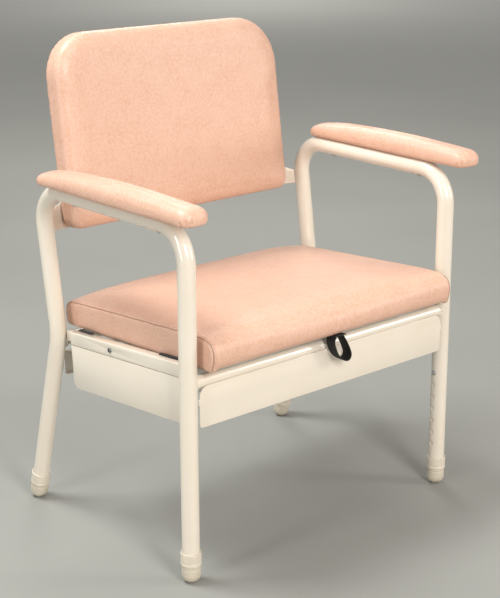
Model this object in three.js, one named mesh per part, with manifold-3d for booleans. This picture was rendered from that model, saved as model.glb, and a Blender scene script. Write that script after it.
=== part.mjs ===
// Commode chair: steel tube frame with height-adjustable legs, padded arms, backrest and
// lift-off seat cushion, plastic toilet seat and a pan that slides out at the back.
// Millimetres, +Z up, +Y towards the back. Left and right are as seen from the front.
import * as THREE from "three";
import { mergeVertices } from "three/addons/utils/BufferGeometryUtils.js";
import Module from "manifold-3d";

const wasm = await Module();
wasm.setup();

// ---------------------------------------------------------------- driving dimensions
const GAP = 0.3; // between pieces that touch

const TUBE_R = 16;
const TUBE_WALL = 1.6;
const FRONT_LEG_Y = -218.97; // puts the origin midway between the front and back extremes
const FRONT_HALF = 316; // front leg axis to the middle of the chair
const REAR_HALF = 323; // rear foot axis to the middle of the chair
const REAR_FOOT = 477.5; // behind the front legs, at the floor
const KINK_BACK = 380.5; // where the rear upright meets the rear leg
const KINK_Z = 360;
const RECLINE = 0.142; // lean of the rear uprights, mm per mm
const ARM_Z = 639.5; // arm tube centre line
const ARM_BEND_R = 62;
const KINK_BEND_R = 120;

const INNER_TUBE_R = 14.1;
const INNER_TUBE_TOP = 292; // distances along a leg are from the floor
const OUTER_TUBE_END = 36;
const BUTTON_HEIGHT = 239;
const HOLE_PITCH = 25;
const HOLE_COUNT = 7;
const HOLE_R = 4.5;
const BUTTON_R = 4;
const TIP_R = 17;
const TIP_TOP = 33.4;
const TIP_CENTRE = 15.5;
const COLLAR_R = 18.5;
const COLLAR_TOP = 58;

const RAIL_TOP_Z = 402; // side rail top at the front legs
const RAIL_SLOPE = 0.0745;
const RAIL_HEIGHT = 25;
const RAIL_OUTER = -0.5; // side rail faces, inward from the plane of the side frame
const RAIL_INNER = 19.5;
const RAIL_END = 344;
const APRON_DROP = 82; // depth of the apron below the side rail
const SHEET = 1.6;

const CROSS_RAIL_R = 12.5;
const FRONT_RAIL_Z = 368;
const FRONT_RAIL_BACK = 2.4; // behind the front legs
const REAR_RAIL_Z = 350;
const REAR_RAIL_BACK = 382.8;
const APRON_FACE = -12; // front face of the front apron
const APRON_BOTTOM = 289;
const APRON_TOP = 364;

const SEAT_Z = 396.5; // underside of the cushion at the front legs
const SEAT_SLOPE = 0.05;
const SEAT_HALF = 294;
const SEAT_FRONT = -42;
const SEAT_BACK = 391;
const SEAT_EDGE_FRONT = 56; // boxing height of the cushion
const SEAT_EDGE_BACK = 44;
const SEAT_BOARD = 12;
const SEAT_BOARD_INSET = 26;
const STRAP_SIDE = 12; // the pull loop hangs a little to the right of the middle

const RING_THICK = 12; // toilet seat

const BACK_BOTTOM_Z = 547;
const BACK_HEIGHT = 362;
const BACK_HALF = 269.5;
const BACK_FRONT = 19; // faces of the backrest, from the plane of the rear uprights
const BACK_REAR = -29;
const BACK_BOARD = 12;
const BACK_PANEL_FACE = -29.6;
const BACK_PANEL_SIDE = 24; // height of the panel at the uprights
const BACK_PANEL_CORNER = 50; // its height behind the edge of the backrest
const BACK_PANEL_TALL = 235;

const PAD_BOTTOM = ARM_Z + TUBE_R + 0.4;
const PAD_INNER = 17; // arm pad edges, inward from the arm tube
const PAD_OUTER = -45;
const PAD_FRONT = -52;
const PAD_BACK = 382;
const PAD_HEIGHT = 37;
const ARM_SCREWS = [70, 310];

const PAN_RIM_Z = 324;
const PAN_HALF = 172;
const PAN_FRONT = 78;
const PAN_BACK = 366;
const PAN_DEPTH = 70;
const PAN_RAIL_Z = 320;

// ---------------------------------------------------------------- materials
const paint = new THREE.MeshStandardMaterial({ color: 0xeadfcd, roughness: 0.3, metalness: 0.1 });
const vinyl = new THREE.MeshStandardMaterial({ color: 0xe0a888, roughness: 0.55, metalness: 0 });
const plywood = new THREE.MeshStandardMaterial({ color: 0xb58c5c, roughness: 0.8, metalness: 0 });
const steel = new THREE.MeshStandardMaterial({ color: 0xb9bcc0, roughness: 0.3, metalness: 1 });
const rubber = new THREE.MeshStandardMaterial({ color: 0xe2d6c2, roughness: 0.7, metalness: 0 });
const collarPlastic = new THREE.MeshStandardMaterial({ color: 0xe8ddca, roughness: 0.45, metalness: 0 });
const greyPlastic = new THREE.MeshStandardMaterial({ color: 0xc9ccca, roughness: 0.4, metalness: 0 });
const panPlastic = new THREE.MeshStandardMaterial({ color: 0xdcdcd8, roughness: 0.35, metalness: 0 });
const blackRubber = new THREE.MeshStandardMaterial({ color: 0x1b1b1b, roughness: 0.8, metalness: 0 });
const webbing = new THREE.MeshStandardMaterial({ color: 0x151515, roughness: 0.9, metalness: 0 });

// ---------------------------------------------------------------- solids
function solidOf(geometry) {
  const bare = geometry.index ? geometry.toNonIndexed() : geometry.clone();
  bare.deleteAttribute("normal");
  bare.deleteAttribute("uv");
  const merged = mergeVertices(bare, 1e-3);
  return new wasm.Manifold(
    new wasm.Mesh({
      numProp: 3,
      vertProperties: merged.attributes.position.array,
      triVerts: new Uint32Array(merged.index.array),
    }),
  );
}

function geometryOf(solid) {
  const mesh = solid.getMesh();
  const geometry = new THREE.BufferGeometry();
  geometry.setAttribute("position", new THREE.BufferAttribute(mesh.vertProperties, 3));
  geometry.setIndex(new THREE.BufferAttribute(mesh.triVerts, 1));
  geometry.computeVertexNormals();
  return geometry;
}

function box(x0, x1, y0, y1, z0, z1) {
  const shape = new THREE.BoxGeometry(x1 - x0, y1 - y0, z1 - z0);
  return solidOf(shape.translate((x0 + x1) / 2, (y0 + y1) / 2, (z0 + z1) / 2));
}

// A round bar along X, Y or Z, between two positions on that axis.
function bar(axis, from, to, radius, sides = 16) {
  const shape = new THREE.CylinderGeometry(radius, radius, to - from, sides);
  shape.translate(0, (from + to) / 2, 0);
  if (axis === "x") shape.rotateZ(-Math.PI / 2);
  if (axis === "z") shape.rotateX(Math.PI / 2);
  return solidOf(shape);
}

// A solid of revolution about Z from [radius, height] pairs that run up the outside.
function turned(profile, sides = 20) {
  const points = profile.map(([r, z]) => new THREE.Vector2(r, z));
  return solidOf(new THREE.LatheGeometry(points, sides).rotateX(Math.PI / 2));
}

// A flat shape in the XY plane, raised from z0 to z1.
function raised(shape, z0, z1, curveSegments = 8) {
  const options = { depth: z1 - z0, bevelEnabled: false, curveSegments };
  return solidOf(new THREE.ExtrudeGeometry(shape, options).translate(0, 0, z0));
}

function shapeOf(points) {
  return new THREE.Shape(points.map(([x, y]) => new THREE.Vector2(x, y)));
}

// The outline of a sheet of the given thickness, folded along a line of [x, y] points.
function foldedSheet(line, thickness) {
  const points = line.map(([x, y]) => new THREE.Vector2(x, y));
  const normalOf = (a, b) => new THREE.Vector2(a.y - b.y, b.x - a.x).normalize();
  const far = points.map((point, i) => {
    const before = normalOf(points[Math.max(i - 1, 0)], points[Math.max(i, 1)]);
    const last = points.length - 1;
    const after = normalOf(points[Math.min(i, last - 1)], points[Math.min(i + 1, last)]);
    const mitre = before.clone().add(after).normalize();
    return point.clone().addScaledVector(mitre, thickness / mitre.dot(after));
  });
  return new THREE.Shape([...points, ...far.reverse()]);
}

// A counter-clockwise rectangle with rounded corners; radii run from the low-Y high-X corner.
function rounded(x0, x1, y0, y1, radii, steps = 5) {
  const [a, b, c, d] = Array.isArray(radii) ? radii : [radii, radii, radii, radii];
  const corners = [
    [x1 - a, y0 + a, a, -90],
    [x1 - b, y1 - b, b, 0],
    [x0 + c, y1 - c, c, 90],
    [x0 + d, y0 + d, d, 180],
  ];
  const points = [];
  for (const [x, y, radius, start] of corners) {
    for (let i = 0; i <= steps; i++) {
      const angle = THREE.MathUtils.degToRad(start + (90 * i) / steps);
      points.push([x + radius * Math.cos(angle), y + radius * Math.sin(angle)]);
    }
  }
  return points;
}

// The same outline clockwise, as a hole in a shape.
function hole2d(points) {
  return new THREE.Path(points.map(([x, y]) => new THREE.Vector2(x, y)).reverse());
}

// The same outline with extra points on every edge longer than the given length.
function subdivided(points, longest) {
  return points.flatMap(([x, y], i) => {
    const [nextX, nextY] = points[(i + 1) % points.length];
    const parts = Math.max(1, Math.ceil(Math.hypot(nextX - x, nextY - y) / longest));
    return Array.from({ length: parts }, (_, k) => [
      x + ((nextX - x) * k) / parts,
      y + ((nextY - y) * k) / parts,
    ]);
  });
}

// One closed skin through a stack of rings of [x, y, z] points, closed flat at both ends.
function loft(rings) {
  const count = rings[0].length;
  const middle = (ring) =>
    [0, 1, 2].map((k) => ring.reduce((sum, point) => sum + point[k], 0) / count);
  const last = (rings.length - 1) * count;
  const base = rings.length * count;
  const position = [...rings.flat(), middle(rings[0]), middle(rings[rings.length - 1])].flat();
  const index = [];
  for (let i = 0; i < count; i++) {
    const next = (i + 1) % count;
    index.push(base, next, i, base + 1, last + i, last + next);
    for (let low = 0; low < last; low += count) {
      const high = low + count;
      index.push(low + i, low + next, high + next, low + i, high + next, high + i);
    }
  }
  const geometry = new THREE.BufferGeometry();
  geometry.setAttribute("position", new THREE.Float32BufferAttribute(position, 3));
  geometry.setIndex(index);
  return solidOf(geometry);
}

// A dome-head socket screw along Z, its head standing on Z = 0.
function screw(shank) {
  const profile = [
    [0, -shank],
    [2.4, -shank],
    [2.4, 0.2],
    [5, 0.2],
    [4.6, 1.6],
    [3, 2.6],
    [1.8, 2.8],
    [1.8, 1.2],
    [0, 1.2],
  ];
  return turned(profile, 10);
}

// ---------------------------------------------------------------- tube along a bent line
// Stands at the stations it is given, so straight runs cost no extra rings.
class StationPath extends THREE.Curve {
  constructor(stations) {
    super();
    this.stations = stations;
  }

  getPointAt(u) {
    return this.stations[Math.round(u * (this.stations.length - 1))].clone();
  }

  getTangentAt(u) {
    const last = this.stations.length - 1;
    const i = Math.round(u * last);
    const ahead = this.stations[Math.min(i + 1, last)].clone();
    return ahead.sub(this.stations[Math.max(i - 1, 0)]).normalize();
  }
}

function annulus(outer, inner) {
  const shape = new THREE.Shape().absarc(0, 0, outer, 0, Math.PI * 2);
  shape.holes.push(new THREE.Path().absarc(0, 0, inner, 0, Math.PI * 2, true));
  return shape;
}

function bentTube(stations, outer, inner) {
  const options = {
    steps: stations.length - 1,
    extrudePath: new StationPath(stations),
    curveSegments: 10,
  };
  return solidOf(new THREE.ExtrudeGeometry(annulus(outer, inner), options));
}

function straightTube(axis, from, to, outer, inner) {
  const tube = raised(annulus(outer, inner), from, to, 10);
  return axis === "x" ? tube.rotate([0, 90, 0]) : tube;
}

// The stations of a line in the YZ plane whose corners are rounded to the given radii.
function roundedLine(corners) {
  const points = [];
  corners.forEach(([y, z, radius = 0, steps = 1], i) => {
    const corner = new THREE.Vector2(y, z);
    if (!radius) {
      points.push(corner);
      return;
    }
    const back = new THREE.Vector2(...corners[i - 1].slice(0, 2)).sub(corner).normalize();
    const ahead = new THREE.Vector2(...corners[i + 1].slice(0, 2)).sub(corner).normalize();
    const half = Math.acos(back.dot(ahead)) / 2;
    const centre = back.clone().add(ahead).setLength(radius / Math.sin(half)).add(corner);
    const start = back.multiplyScalar(radius / Math.tan(half)).add(corner).sub(centre);
    const end = ahead.multiplyScalar(radius / Math.tan(half)).add(corner).sub(centre);
    const turn = Math.sign(start.cross(end)) * (Math.PI - 2 * half);
    for (let k = 0; k <= steps; k++) {
      const spoke = start.clone().rotateAround(new THREE.Vector2(), (turn * k) / steps);
      points.push(spoke.add(centre));
    }
  });
  return points.map((point) => new THREE.Vector3(0, point.x, point.y));
}

// ---------------------------------------------------------------- placing
const chair = new THREE.Group();
chair.name = "commode_chair";

function add(name, solid, material) {
  const mesh = new THREE.Mesh(geometryOf(solid), material);
  mesh.name = name;
  chair.add(mesh);
}

const placed = (solid, matrix) => solid.transform(matrix.elements);

// Frame-level pieces are drawn with the front legs at Y = 0.
const chairFrame = new THREE.Matrix4().makeTranslation(0, FRONT_LEG_Y, 0);

// The left side frame's own axes: X inwards, Y backwards along the frame, Z up.
const toeOut = Math.atan((REAR_HALF - FRONT_HALF) / REAR_FOOT);
const sideFrame = new THREE.Matrix4()
  .makeTranslation(-FRONT_HALF, FRONT_LEG_Y, 0)
  .multiply(new THREE.Matrix4().makeRotationZ(toeOut));

function addCentre(name, solid, material) {
  add(name, placed(solid, chairFrame), material);
}

// A piece of the left side frame, and its mirror image on the right.
function addSides(name, solid, material, matrix = sideFrame) {
  const left = placed(solid, matrix);
  add(`left_${name}`, left, material);
  add(`right_${name}`, left.mirror([1, 0, 0]), material);
}

const rearSplay = Math.atan((REAR_FOOT - KINK_BACK) / KINK_Z);
const recline = Math.atan(RECLINE);
const legs = [
  { name: "front", tilt: 0, foot: 0 },
  { name: "rear", tilt: rearSplay, foot: REAR_FOOT },
];
for (const leg of legs) {
  // Z runs up the leg from the floor, X towards the other side frame.
  leg.local = new THREE.Matrix4()
    .makeTranslation(0, leg.foot, 0)
    .multiply(new THREE.Matrix4().makeRotationX(leg.tilt));
  leg.matrix = sideFrame.clone().multiply(leg.local);
}

// ---------------------------------------------------------------- side frames
const splayEnd = [
  REAR_FOOT - OUTER_TUBE_END * Math.sin(rearSplay),
  OUTER_TUBE_END * Math.cos(rearSplay),
];
const sideLine = roundedLine([
  [0, OUTER_TUBE_END],
  [0, ARM_Z, ARM_BEND_R, 8],
  [KINK_BACK + RECLINE * (ARM_Z - KINK_Z), ARM_Z, ARM_BEND_R, 8],
  [KINK_BACK, KINK_Z, KINK_BEND_R, 3],
  splayEnd,
]);
let sideTube = bentTube(sideLine, TUBE_R, TUBE_R - TUBE_WALL);
for (const leg of legs) {
  for (let i = 0; i < HOLE_COUNT; i++) {
    const hole = bar("x", 8, 20, HOLE_R, 12).translate([0, 0, BUTTON_HEIGHT - i * HOLE_PITCH]);
    sideTube = sideTube.subtract(placed(hole, leg.local));
  }
}
for (const y of ARM_SCREWS) {
  const hole = bar("z", ARM_Z - 20, ARM_Z + 20, 2.9, 10).translate([0, y, 0]);
  sideTube = sideTube.subtract(hole);
}
addSides("side_frame", sideTube, paint);

// ---------------------------------------------------------------- legs
for (const leg of legs) {
  const buttonHole = bar("x", 8, 20, BUTTON_R + 0.3, 12).translate([0, 0, BUTTON_HEIGHT]);
  const innerTube = straightTube("z", 14, INNER_TUBE_TOP, INNER_TUBE_R, INNER_TUBE_R - 1.5);
  addSides(`${leg.name}_inner_leg`, innerTube.subtract(buttonHole), paint, leg.matrix);

  // Rubber tip with a domed end, cut flat where it stands on the floor.
  const domeCentre = TIP_CENTRE / Math.cos(leg.tilt);
  const tipProfile = [[0, domeCentre - TIP_R]];
  for (let i = 1; i <= 5; i++) {
    const angle = (i * Math.PI) / 10;
    tipProfile.push([TIP_R * Math.sin(angle), domeCentre - TIP_R * Math.cos(angle)]);
  }
  const socket = INNER_TUBE_R + GAP;
  tipProfile.push([TIP_R, TIP_TOP - 1.5], [TIP_R - 1.5, TIP_TOP], [socket, TIP_TOP]);
  tipProfile.push([socket, 14 - GAP], [0, 14 - GAP]);
  const tip = placed(turned(tipProfile), leg.local).trimByPlane([0, 0, 1], 0);
  addSides(`${leg.name}_tip`, tip, rubber);

  // Plastic collar over the end of the frame tube; its lip guides the inner leg.
  const guide = INNER_TUBE_R + GAP;
  const sleeve = TUBE_R + GAP;
  const collar = turned([
    [guide, TIP_TOP + GAP],
    [COLLAR_R - 1.2, TIP_TOP + GAP],
    [COLLAR_R, TIP_TOP + GAP + 1.2],
    [COLLAR_R, COLLAR_TOP - 2],
    [COLLAR_R - 1.5, COLLAR_TOP],
    [sleeve, COLLAR_TOP],
    [sleeve, OUTER_TUBE_END - GAP],
    [guide, OUTER_TUBE_END - GAP],
    [guide, TIP_TOP + GAP],
  ]);
  addSides(`${leg.name}_collar`, collar, collarPlastic, leg.matrix);

  // Snap button: domed head, flange behind the wall of the inner leg.
  const buttonProfile = [
    [0, 10],
    [5.2, 10],
    [5.2, 11.2],
    [BUTTON_R, 11.2],
    [BUTTON_R, 17.2],
    [BUTTON_R * 0.8, 18.4],
    [BUTTON_R * 0.4, 19],
    [0, 19.1],
  ];
  const button = turned(buttonProfile, 12).rotate([0, 90, 0]);
  addSides(`${leg.name}_button`, button.translate([0, 0, BUTTON_HEIGHT]), steel, leg.matrix);

  // Leaf spring that pushes the button out, folded like a hairpin inside the inner leg.
  const hairpin = foldedSheet(
    [
      [9.6, 8],
      [9.6, -8],
      [3, -40],
      [0, -46],
      [-3, -40],
      [-9.8, -8],
      [-9.8, 14],
    ],
    -0.8,
  );
  const spring = raised(hairpin, -3, 3).rotate([90, 0, 0]).translate([0, 0, BUTTON_HEIGHT]);
  addSides(`${leg.name}_spring`, spring, steel, leg.matrix);
}

// ---------------------------------------------------------------- side rails and aprons
// Drawn along their own slope from the front leg, then cut to fit against its tube.
const railLocal = new THREE.Matrix4()
  .makeTranslation(0, 0, RAIL_TOP_Z)
  .multiply(new THREE.Matrix4().makeRotationX(-Math.atan(RAIL_SLOPE)));
const railFrame = sideFrame.clone().multiply(railLocal);
const legClearance = bar("z", 200, 500, TUBE_R + GAP, 24);
const coped = (solid) => placed(solid, railLocal).subtract(legClearance);
const railStart = 14;
const railSection = shapeOf(rounded(RAIL_OUTER, RAIL_INNER, 0, RAIL_HEIGHT, 2.5, 3));
railSection.holes.push(
  hole2d(rounded(RAIL_OUTER + SHEET, RAIL_INNER - SHEET, SHEET, RAIL_HEIGHT - SHEET, 1, 2)),
);
const railTube = raised(railSection, railStart, RAIL_END).rotate([90, 0, 0]).mirror([0, 1, 0]);
const railStub = box(RAIL_INNER - 12, RAIL_INNER - 0.2, RAIL_END - 12, 367.4, 3, 23);
const screwBack = 222;
const screwHole = bar("x", -5, 5, 2.7, 12).translate([0, screwBack, RAIL_HEIGHT / 2]);
const sideRail = railTube.add(railStub).subtract(screwHole).translate([0, 0, -RAIL_HEIGHT]);
addSides("side_rail", coped(sideRail), paint);

const apronScrew = screw(7)
  .rotate([0, -90, 0])
  .translate([RAIL_OUTER, screwBack, -RAIL_HEIGHT / 2]);
addSides("rail_screw", apronScrew, steel, railFrame);

const apronTop = -RAIL_HEIGHT - GAP;
const apronLow = apronTop - APRON_DROP;
const sideSkin = shapeOf(
  rounded(apronLow, apronTop, railStart, RAIL_END, [0.6, 0.6, 12, 0.6], 4),
);
const skin = raised(sideSkin, RAIL_OUTER, RAIL_OUTER + SHEET).rotate([0, -90, 0]).mirror([1, 0, 0]);
const topFlange = box(RAIL_OUTER + 0.2, 16, railStart, RAIL_END - 2, apronTop - SHEET, apronTop);
const lip = box(RAIL_OUTER + 0.2, 9, railStart, RAIL_END - 16, apronLow, apronLow + SHEET);
const sideApron = skin.add(topFlange).add(lip);
addSides("side_apron", coped(sideApron), paint);

// Rubber buffers that the edge of the cushion settles against.
for (const [name, from, to] of [
  ["front_buffer", 42, 96],
  ["rear_buffer", 294, 336],
]) {
  const outline = shapeOf(rounded(12, 19, from, to, 2.5, 3));
  addSides(name, raised(outline, GAP, 3.2), blackRubber, railFrame);
}

// ---------------------------------------------------------------- cross rails and front apron
const frontRail = straightTube("x", -299.6, 299.6, CROSS_RAIL_R, CROSS_RAIL_R - TUBE_WALL);
addCentre("front_rail", frontRail.translate([0, FRONT_RAIL_BACK, FRONT_RAIL_Z]), paint);
const rearRail = straightTube("x", -304.6, 304.6, CROSS_RAIL_R, CROSS_RAIL_R - TUBE_WALL);
addCentre("rear_rail", rearRail.translate([0, REAR_RAIL_BACK, REAR_RAIL_Z]), paint);

const apronHalf = 301;
const apronSkin = shapeOf(
  rounded(-apronHalf, apronHalf, APRON_BOTTOM, APRON_TOP, [6, 18, 18, 6], 5),
);
const apronBack = APRON_FACE + SHEET;
const lipHalf = apronHalf - 6;
const lipTop = APRON_BOTTOM + SHEET;
const frontLip = box(-lipHalf, lipHalf, APRON_FACE + 0.2, APRON_FACE + 9, APRON_BOTTOM, lipTop);
let frontApron = raised(apronSkin, -apronBack, -APRON_FACE).rotate([90, 0, 0]).add(frontLip);
for (const side of [-1, 1]) {
  const near = side * lipHalf;
  const far = side * (apronHalf + 2.3);
  const tab = box(Math.min(near, far), Math.max(near, far), APRON_FACE, apronBack, 330, 342);
  frontApron = frontApron.add(tab);
}
addCentre("front_apron", frontApron, paint);

// ---------------------------------------------------------------- pan rails, rear brackets, pan
const BRACKET_BACK = 391;
const panRailOuter = PAN_HALF + 6;
const panRailLine = [
  [panRailOuter - 20, PAN_RAIL_Z - SHEET],
  [panRailOuter, PAN_RAIL_Z - SHEET],
  [panRailOuter, PAN_RAIL_Z + 14],
];
const panRailEnd = BRACKET_BACK - SHEET - GAP;
const panRailBar = raised(foldedSheet(panRailLine, SHEET), -panRailEnd, -6).rotate([90, 0, 0]);
const hanger = box(panRailOuter - 18, panRailOuter, 6, 6 + SHEET, PAN_RAIL_Z - SHEET, 355.2);
const panRail = panRailBar.add(hanger);
addCentre("left_pan_rail", panRail.mirror([1, 0, 0]), paint);
addCentre("right_pan_rail", panRail, paint);

const bracketLine = [
  [BRACKET_BACK - 14, 325],
  [BRACKET_BACK, 325],
  [BRACKET_BACK, 277],
  [BRACKET_BACK - 8, 277],
];
const yzAlongX = new THREE.Matrix4().makeBasis(
  new THREE.Vector3(0, 1, 0),
  new THREE.Vector3(0, 0, 1),
  new THREE.Vector3(1, 0, 0),
);
const bracket = placed(raised(foldedSheet(bracketLine, -SHEET), panRailOuter + GAP, 304.5), yzAlongX);
addCentre("left_rear_bracket", bracket.mirror([1, 0, 0]), paint);
addCentre("right_rear_bracket", bracket, paint);

// Shallow pan: walls taper in towards the bottom, the rim hangs on the two rails.
function panRing(inset, z, radius) {
  const side = PAN_HALF - inset;
  const outline = rounded(-side, side, PAN_FRONT + inset, PAN_BACK - inset, radius, 4);
  return outline.map(([x, y]) => [x, y, z]);
}
const panDish = loft([
  panRing(34, PAN_RIM_Z - PAN_DEPTH, 34),
  panRing(22, PAN_RAIL_Z + GAP, 34),
  panRing(0, PAN_RAIL_Z + GAP, 40),
  panRing(0, PAN_RIM_Z, 40),
  panRing(24.5, PAN_RIM_Z, 32),
  panRing(36.5, PAN_RIM_Z - PAN_DEPTH + 2.5, 32),
]);
const gripShape = shapeOf(rounded(-52, 52, PAN_BACK - 4, PAN_BACK + 30, 12, 3));
gripShape.holes.push(hole2d(rounded(-38, 38, PAN_BACK + 3, PAN_BACK + 21, 8, 3)));
addCentre("pan", panDish.add(raised(gripShape, PAN_RAIL_Z + GAP, PAN_RIM_Z)), panPlastic);

// ---------------------------------------------------------------- toilet seat
// Everything in the seat lies parallel to the underside of the cushion, which falls backwards.
const seatUnder = (y) => SEAT_Z - SEAT_SLOPE * y;
const seatPlane = new THREE.Matrix4().makeTranslation(0, FRONT_LEG_Y, SEAT_Z);
seatPlane.elements[6] = -SEAT_SLOPE;

const ringShape = shapeOf(rounded(-276, 276, -8, 384, 28, 4));
ringShape.holes.push(hole2d(rounded(-112, 112, 52, 326, 104, 7)));
let toiletSeat = placed(raised(ringShape, -GAP - RING_THICK, -GAP), seatPlane);
const railTops = [
  [FRONT_RAIL_BACK, FRONT_RAIL_Z + CROSS_RAIL_R],
  [REAR_RAIL_BACK - 3, REAR_RAIL_Z + CROSS_RAIL_R],
];
for (const x of [-200, 200]) {
  for (const [y, z] of railTops) {
    const foot = box(x - 14, x + 14, y - 4, y + 4, z + GAP, seatUnder(y) - RING_THICK + 2);
    toiletSeat = toiletSeat.add(placed(foot, chairFrame));
  }
}
add("toilet_seat", toiletSeat, greyPlastic);

// ---------------------------------------------------------------- seat cushion
const seatEdge = (y) => {
  const share = (y - SEAT_FRONT) / (SEAT_BACK - SEAT_FRONT);
  return SEAT_EDGE_FRONT + (SEAT_EDGE_BACK - SEAT_EDGE_FRONT) * share;
};
function seatRing(inset, share, crown, frontInset, radius) {
  const side = SEAT_HALF - inset;
  const outline = rounded(-side, side, SEAT_FRONT + frontInset, SEAT_BACK - inset, radius, 5);
  return outline.map(([x, y]) => [x, y, seatUnder(y) + share * seatEdge(y) + crown]);
}
function seatBoardShape(grow) {
  const inset = SEAT_BOARD_INSET - grow;
  const side = SEAT_HALF - inset;
  return shapeOf(rounded(-side, side, SEAT_FRONT + inset, SEAT_BACK - inset, 14 + grow, 4));
}
const seatPocket = placed(raised(seatBoardShape(GAP), -5, SEAT_BOARD + 2 * GAP), seatPlane);
const seatPad = loft([
  seatRing(6, 0, 0, 6, 14),
  seatRing(1, 0.1, 0, 1, 16),
  seatRing(0, 0.45, 0, 0, 17),
  seatRing(1, 0.84, 0, 4, 17),
  seatRing(7, 1, 0, 12, 16),
  seatRing(30, 1, 8, 34, 30),
  seatRing(75, 1, 14, 80, 50),
  seatRing(130, 1, 17, 130, 70),
]);
add("seat_pad", placed(seatPad, chairFrame).subtract(seatPocket), vinyl);
add("seat_board", placed(raised(seatBoardShape(0), GAP, GAP + SEAT_BOARD), seatPlane), plywood);

// Webbing loop sewn under the front edge of the cushion, to pull it up by.
const loopLine = [
  [-20, 395.8],
  [-23, 382],
  [-14, 358],
  [-2, 346],
  [14, 343],
  [24, 351],
  [24, 366],
  [10, 386],
  [-5, 395.8],
];
const strapLoop = raised(foldedSheet(loopLine, 2), 18, 40).rotate([90, 0, 0]);
const strapPlace = chairFrame.clone().multiply(new THREE.Matrix4().makeTranslation(STRAP_SIDE, 0, 0));
const strapTongue = box(STRAP_SIDE - 28, STRAP_SIDE, -40, -10, -2.8, -0.5);
add("pull_strap", placed(strapLoop, strapPlace).add(placed(strapTongue, seatPlane)), webbing);

// ---------------------------------------------------------------- backrest
// Its own axes: X across, Y up along the rear uprights, Z out of the front face.
const backBase = KINK_BACK + RECLINE * (BACK_BOTTOM_Z - KINK_Z);
const backFrame = new THREE.Matrix4()
  .makeTranslation(0, FRONT_LEG_Y + backBase, BACK_BOTTOM_Z)
  .multiply(new THREE.Matrix4().makeRotationX(Math.PI / 2 - recline));

function backRing(inset, depth) {
  const side = BACK_HALF - inset;
  const top = Math.max(85 - inset * 0.7, 30);
  const bottom = Math.max(22 - inset * 0.4, 12);
  const radii = [bottom, top, top, bottom];
  const outline = rounded(-side, side, inset, BACK_HEIGHT - inset, radii, 6);
  return outline.map(([x, y]) => [x, y, depth]);
}
function backBoardShape(grow) {
  const inset = 14 - grow;
  const side = BACK_HALF - inset;
  return shapeOf(rounded(-side, side, inset, BACK_HEIGHT - inset, [16, 74, 74, 16], 5));
}
const backBoardFace = BACK_REAR + GAP + BACK_BOARD;
const backPocket = raised(backBoardShape(GAP), BACK_REAR - 5, backBoardFace + GAP);
const backPad = loft([
  backRing(9, BACK_REAR),
  backRing(2, BACK_REAR + 4),
  backRing(0, BACK_REAR + 15),
  backRing(0, BACK_FRONT - 14),
  backRing(4, BACK_FRONT - 5),
  backRing(14, BACK_FRONT),
  backRing(50, BACK_FRONT + 4),
  backRing(110, BACK_FRONT + 6),
]);
add("backrest_pad", placed(backPad.subtract(backPocket), backFrame), vinyl);

const panelLine = [
  [-306.5, -7],
  [-276, BACK_PANEL_FACE],
  [276, BACK_PANEL_FACE],
  [306.5, -7],
];
const panelFold = raised(foldedSheet(panelLine, -2), -BACK_PANEL_TALL, -3).rotate([90, 0, 0]);
const shoulder = shapeOf([
  [320, BACK_PANEL_SIDE],
  [320, 400],
  [225, 400],
  [225, BACK_PANEL_CORNER + 24],
  [BACK_HALF - 1.5, BACK_PANEL_CORNER],
  [300, BACK_PANEL_SIDE + 10],
]);
const shoulderCut = raised(shoulder, -60, 20);
let backPanel = panelFold.subtract(shoulderCut).subtract(shoulderCut.mirror([1, 0, 0]));
let backBoard = raised(backBoardShape(0), BACK_REAR + GAP, backBoardFace);
const panelBack = BACK_PANEL_FACE - 2;
const backScrews = [
  ["left_lower", -150, 32],
  ["right_lower", 150, 32],
  ["left_upper", -150, 200],
  ["right_upper", 150, 200],
];
for (const [name, x, y] of backScrews) {
  const hole = bar("z", panelBack - 2, panelBack + 13, 2.7, 12).translate([x, y, 0]);
  backPanel = backPanel.subtract(hole);
  backBoard = backBoard.subtract(hole);
  const piece = screw(12).rotate([180, 0, 0]).translate([x, y, panelBack]);
  add(`${name}_back_screw`, placed(piece, backFrame), steel);
}
add("back_panel", placed(backPanel, backFrame), paint);
add("backrest_board", placed(backBoard, backFrame), plywood);

// ---------------------------------------------------------------- armrests
const padMiddle = (PAD_FRONT + PAD_BACK) / 2;
function padRing(inset, height, radius) {
  const [x0, x1] = [PAD_OUTER + inset, PAD_INNER - inset];
  const outline = subdivided(rounded(x0, x1, PAD_FRONT + inset, PAD_BACK - inset, radius, 4), 60);
  return outline.map(([x, y]) => {
    const thin = 0.4 * Math.abs((y - padMiddle) / (PAD_BACK - padMiddle)) ** 3;
    return [x, y, PAD_BOTTOM + height * (1 - thin)];
  });
}
const armPadBlock = loft([
  padRing(5, 0, 18),
  padRing(1, 2.5, 21),
  padRing(0, 9, 22),
  padRing(0, 18, 22),
  padRing(3.5, 27, 20),
  padRing(11, 34, 15),
  padRing(20, PAD_HEIGHT, 9),
]);
const armBoardShape = (grow) =>
  shapeOf(rounded(-37 - grow, 9 + grow, PAD_FRONT + 14 - grow, PAD_BACK - 14 + grow, 12, 3));
const armPocket = raised(armBoardShape(GAP), PAD_BOTTOM - 5, PAD_BOTTOM + 8 + GAP);
let armBoard = raised(armBoardShape(0), PAD_BOTTOM, PAD_BOTTOM + 8);
for (const [i, y] of ARM_SCREWS.entries()) {
  armBoard = armBoard.subtract(bar("z", ARM_Z, PAD_BOTTOM + 7, 2.7, 12).translate([0, y, 0]));
  const piece = screw(2 * TUBE_R + 6).rotate([180, 0, 0]).translate([0, y, ARM_Z - TUBE_R]);
  addSides(`arm_screw_${i + 1}`, piece, steel);
}
addSides("arm_pad", armPadBlock.subtract(armPocket), vinyl);
addSides("arm_board", armBoard, plywood);

export default chair;
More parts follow.
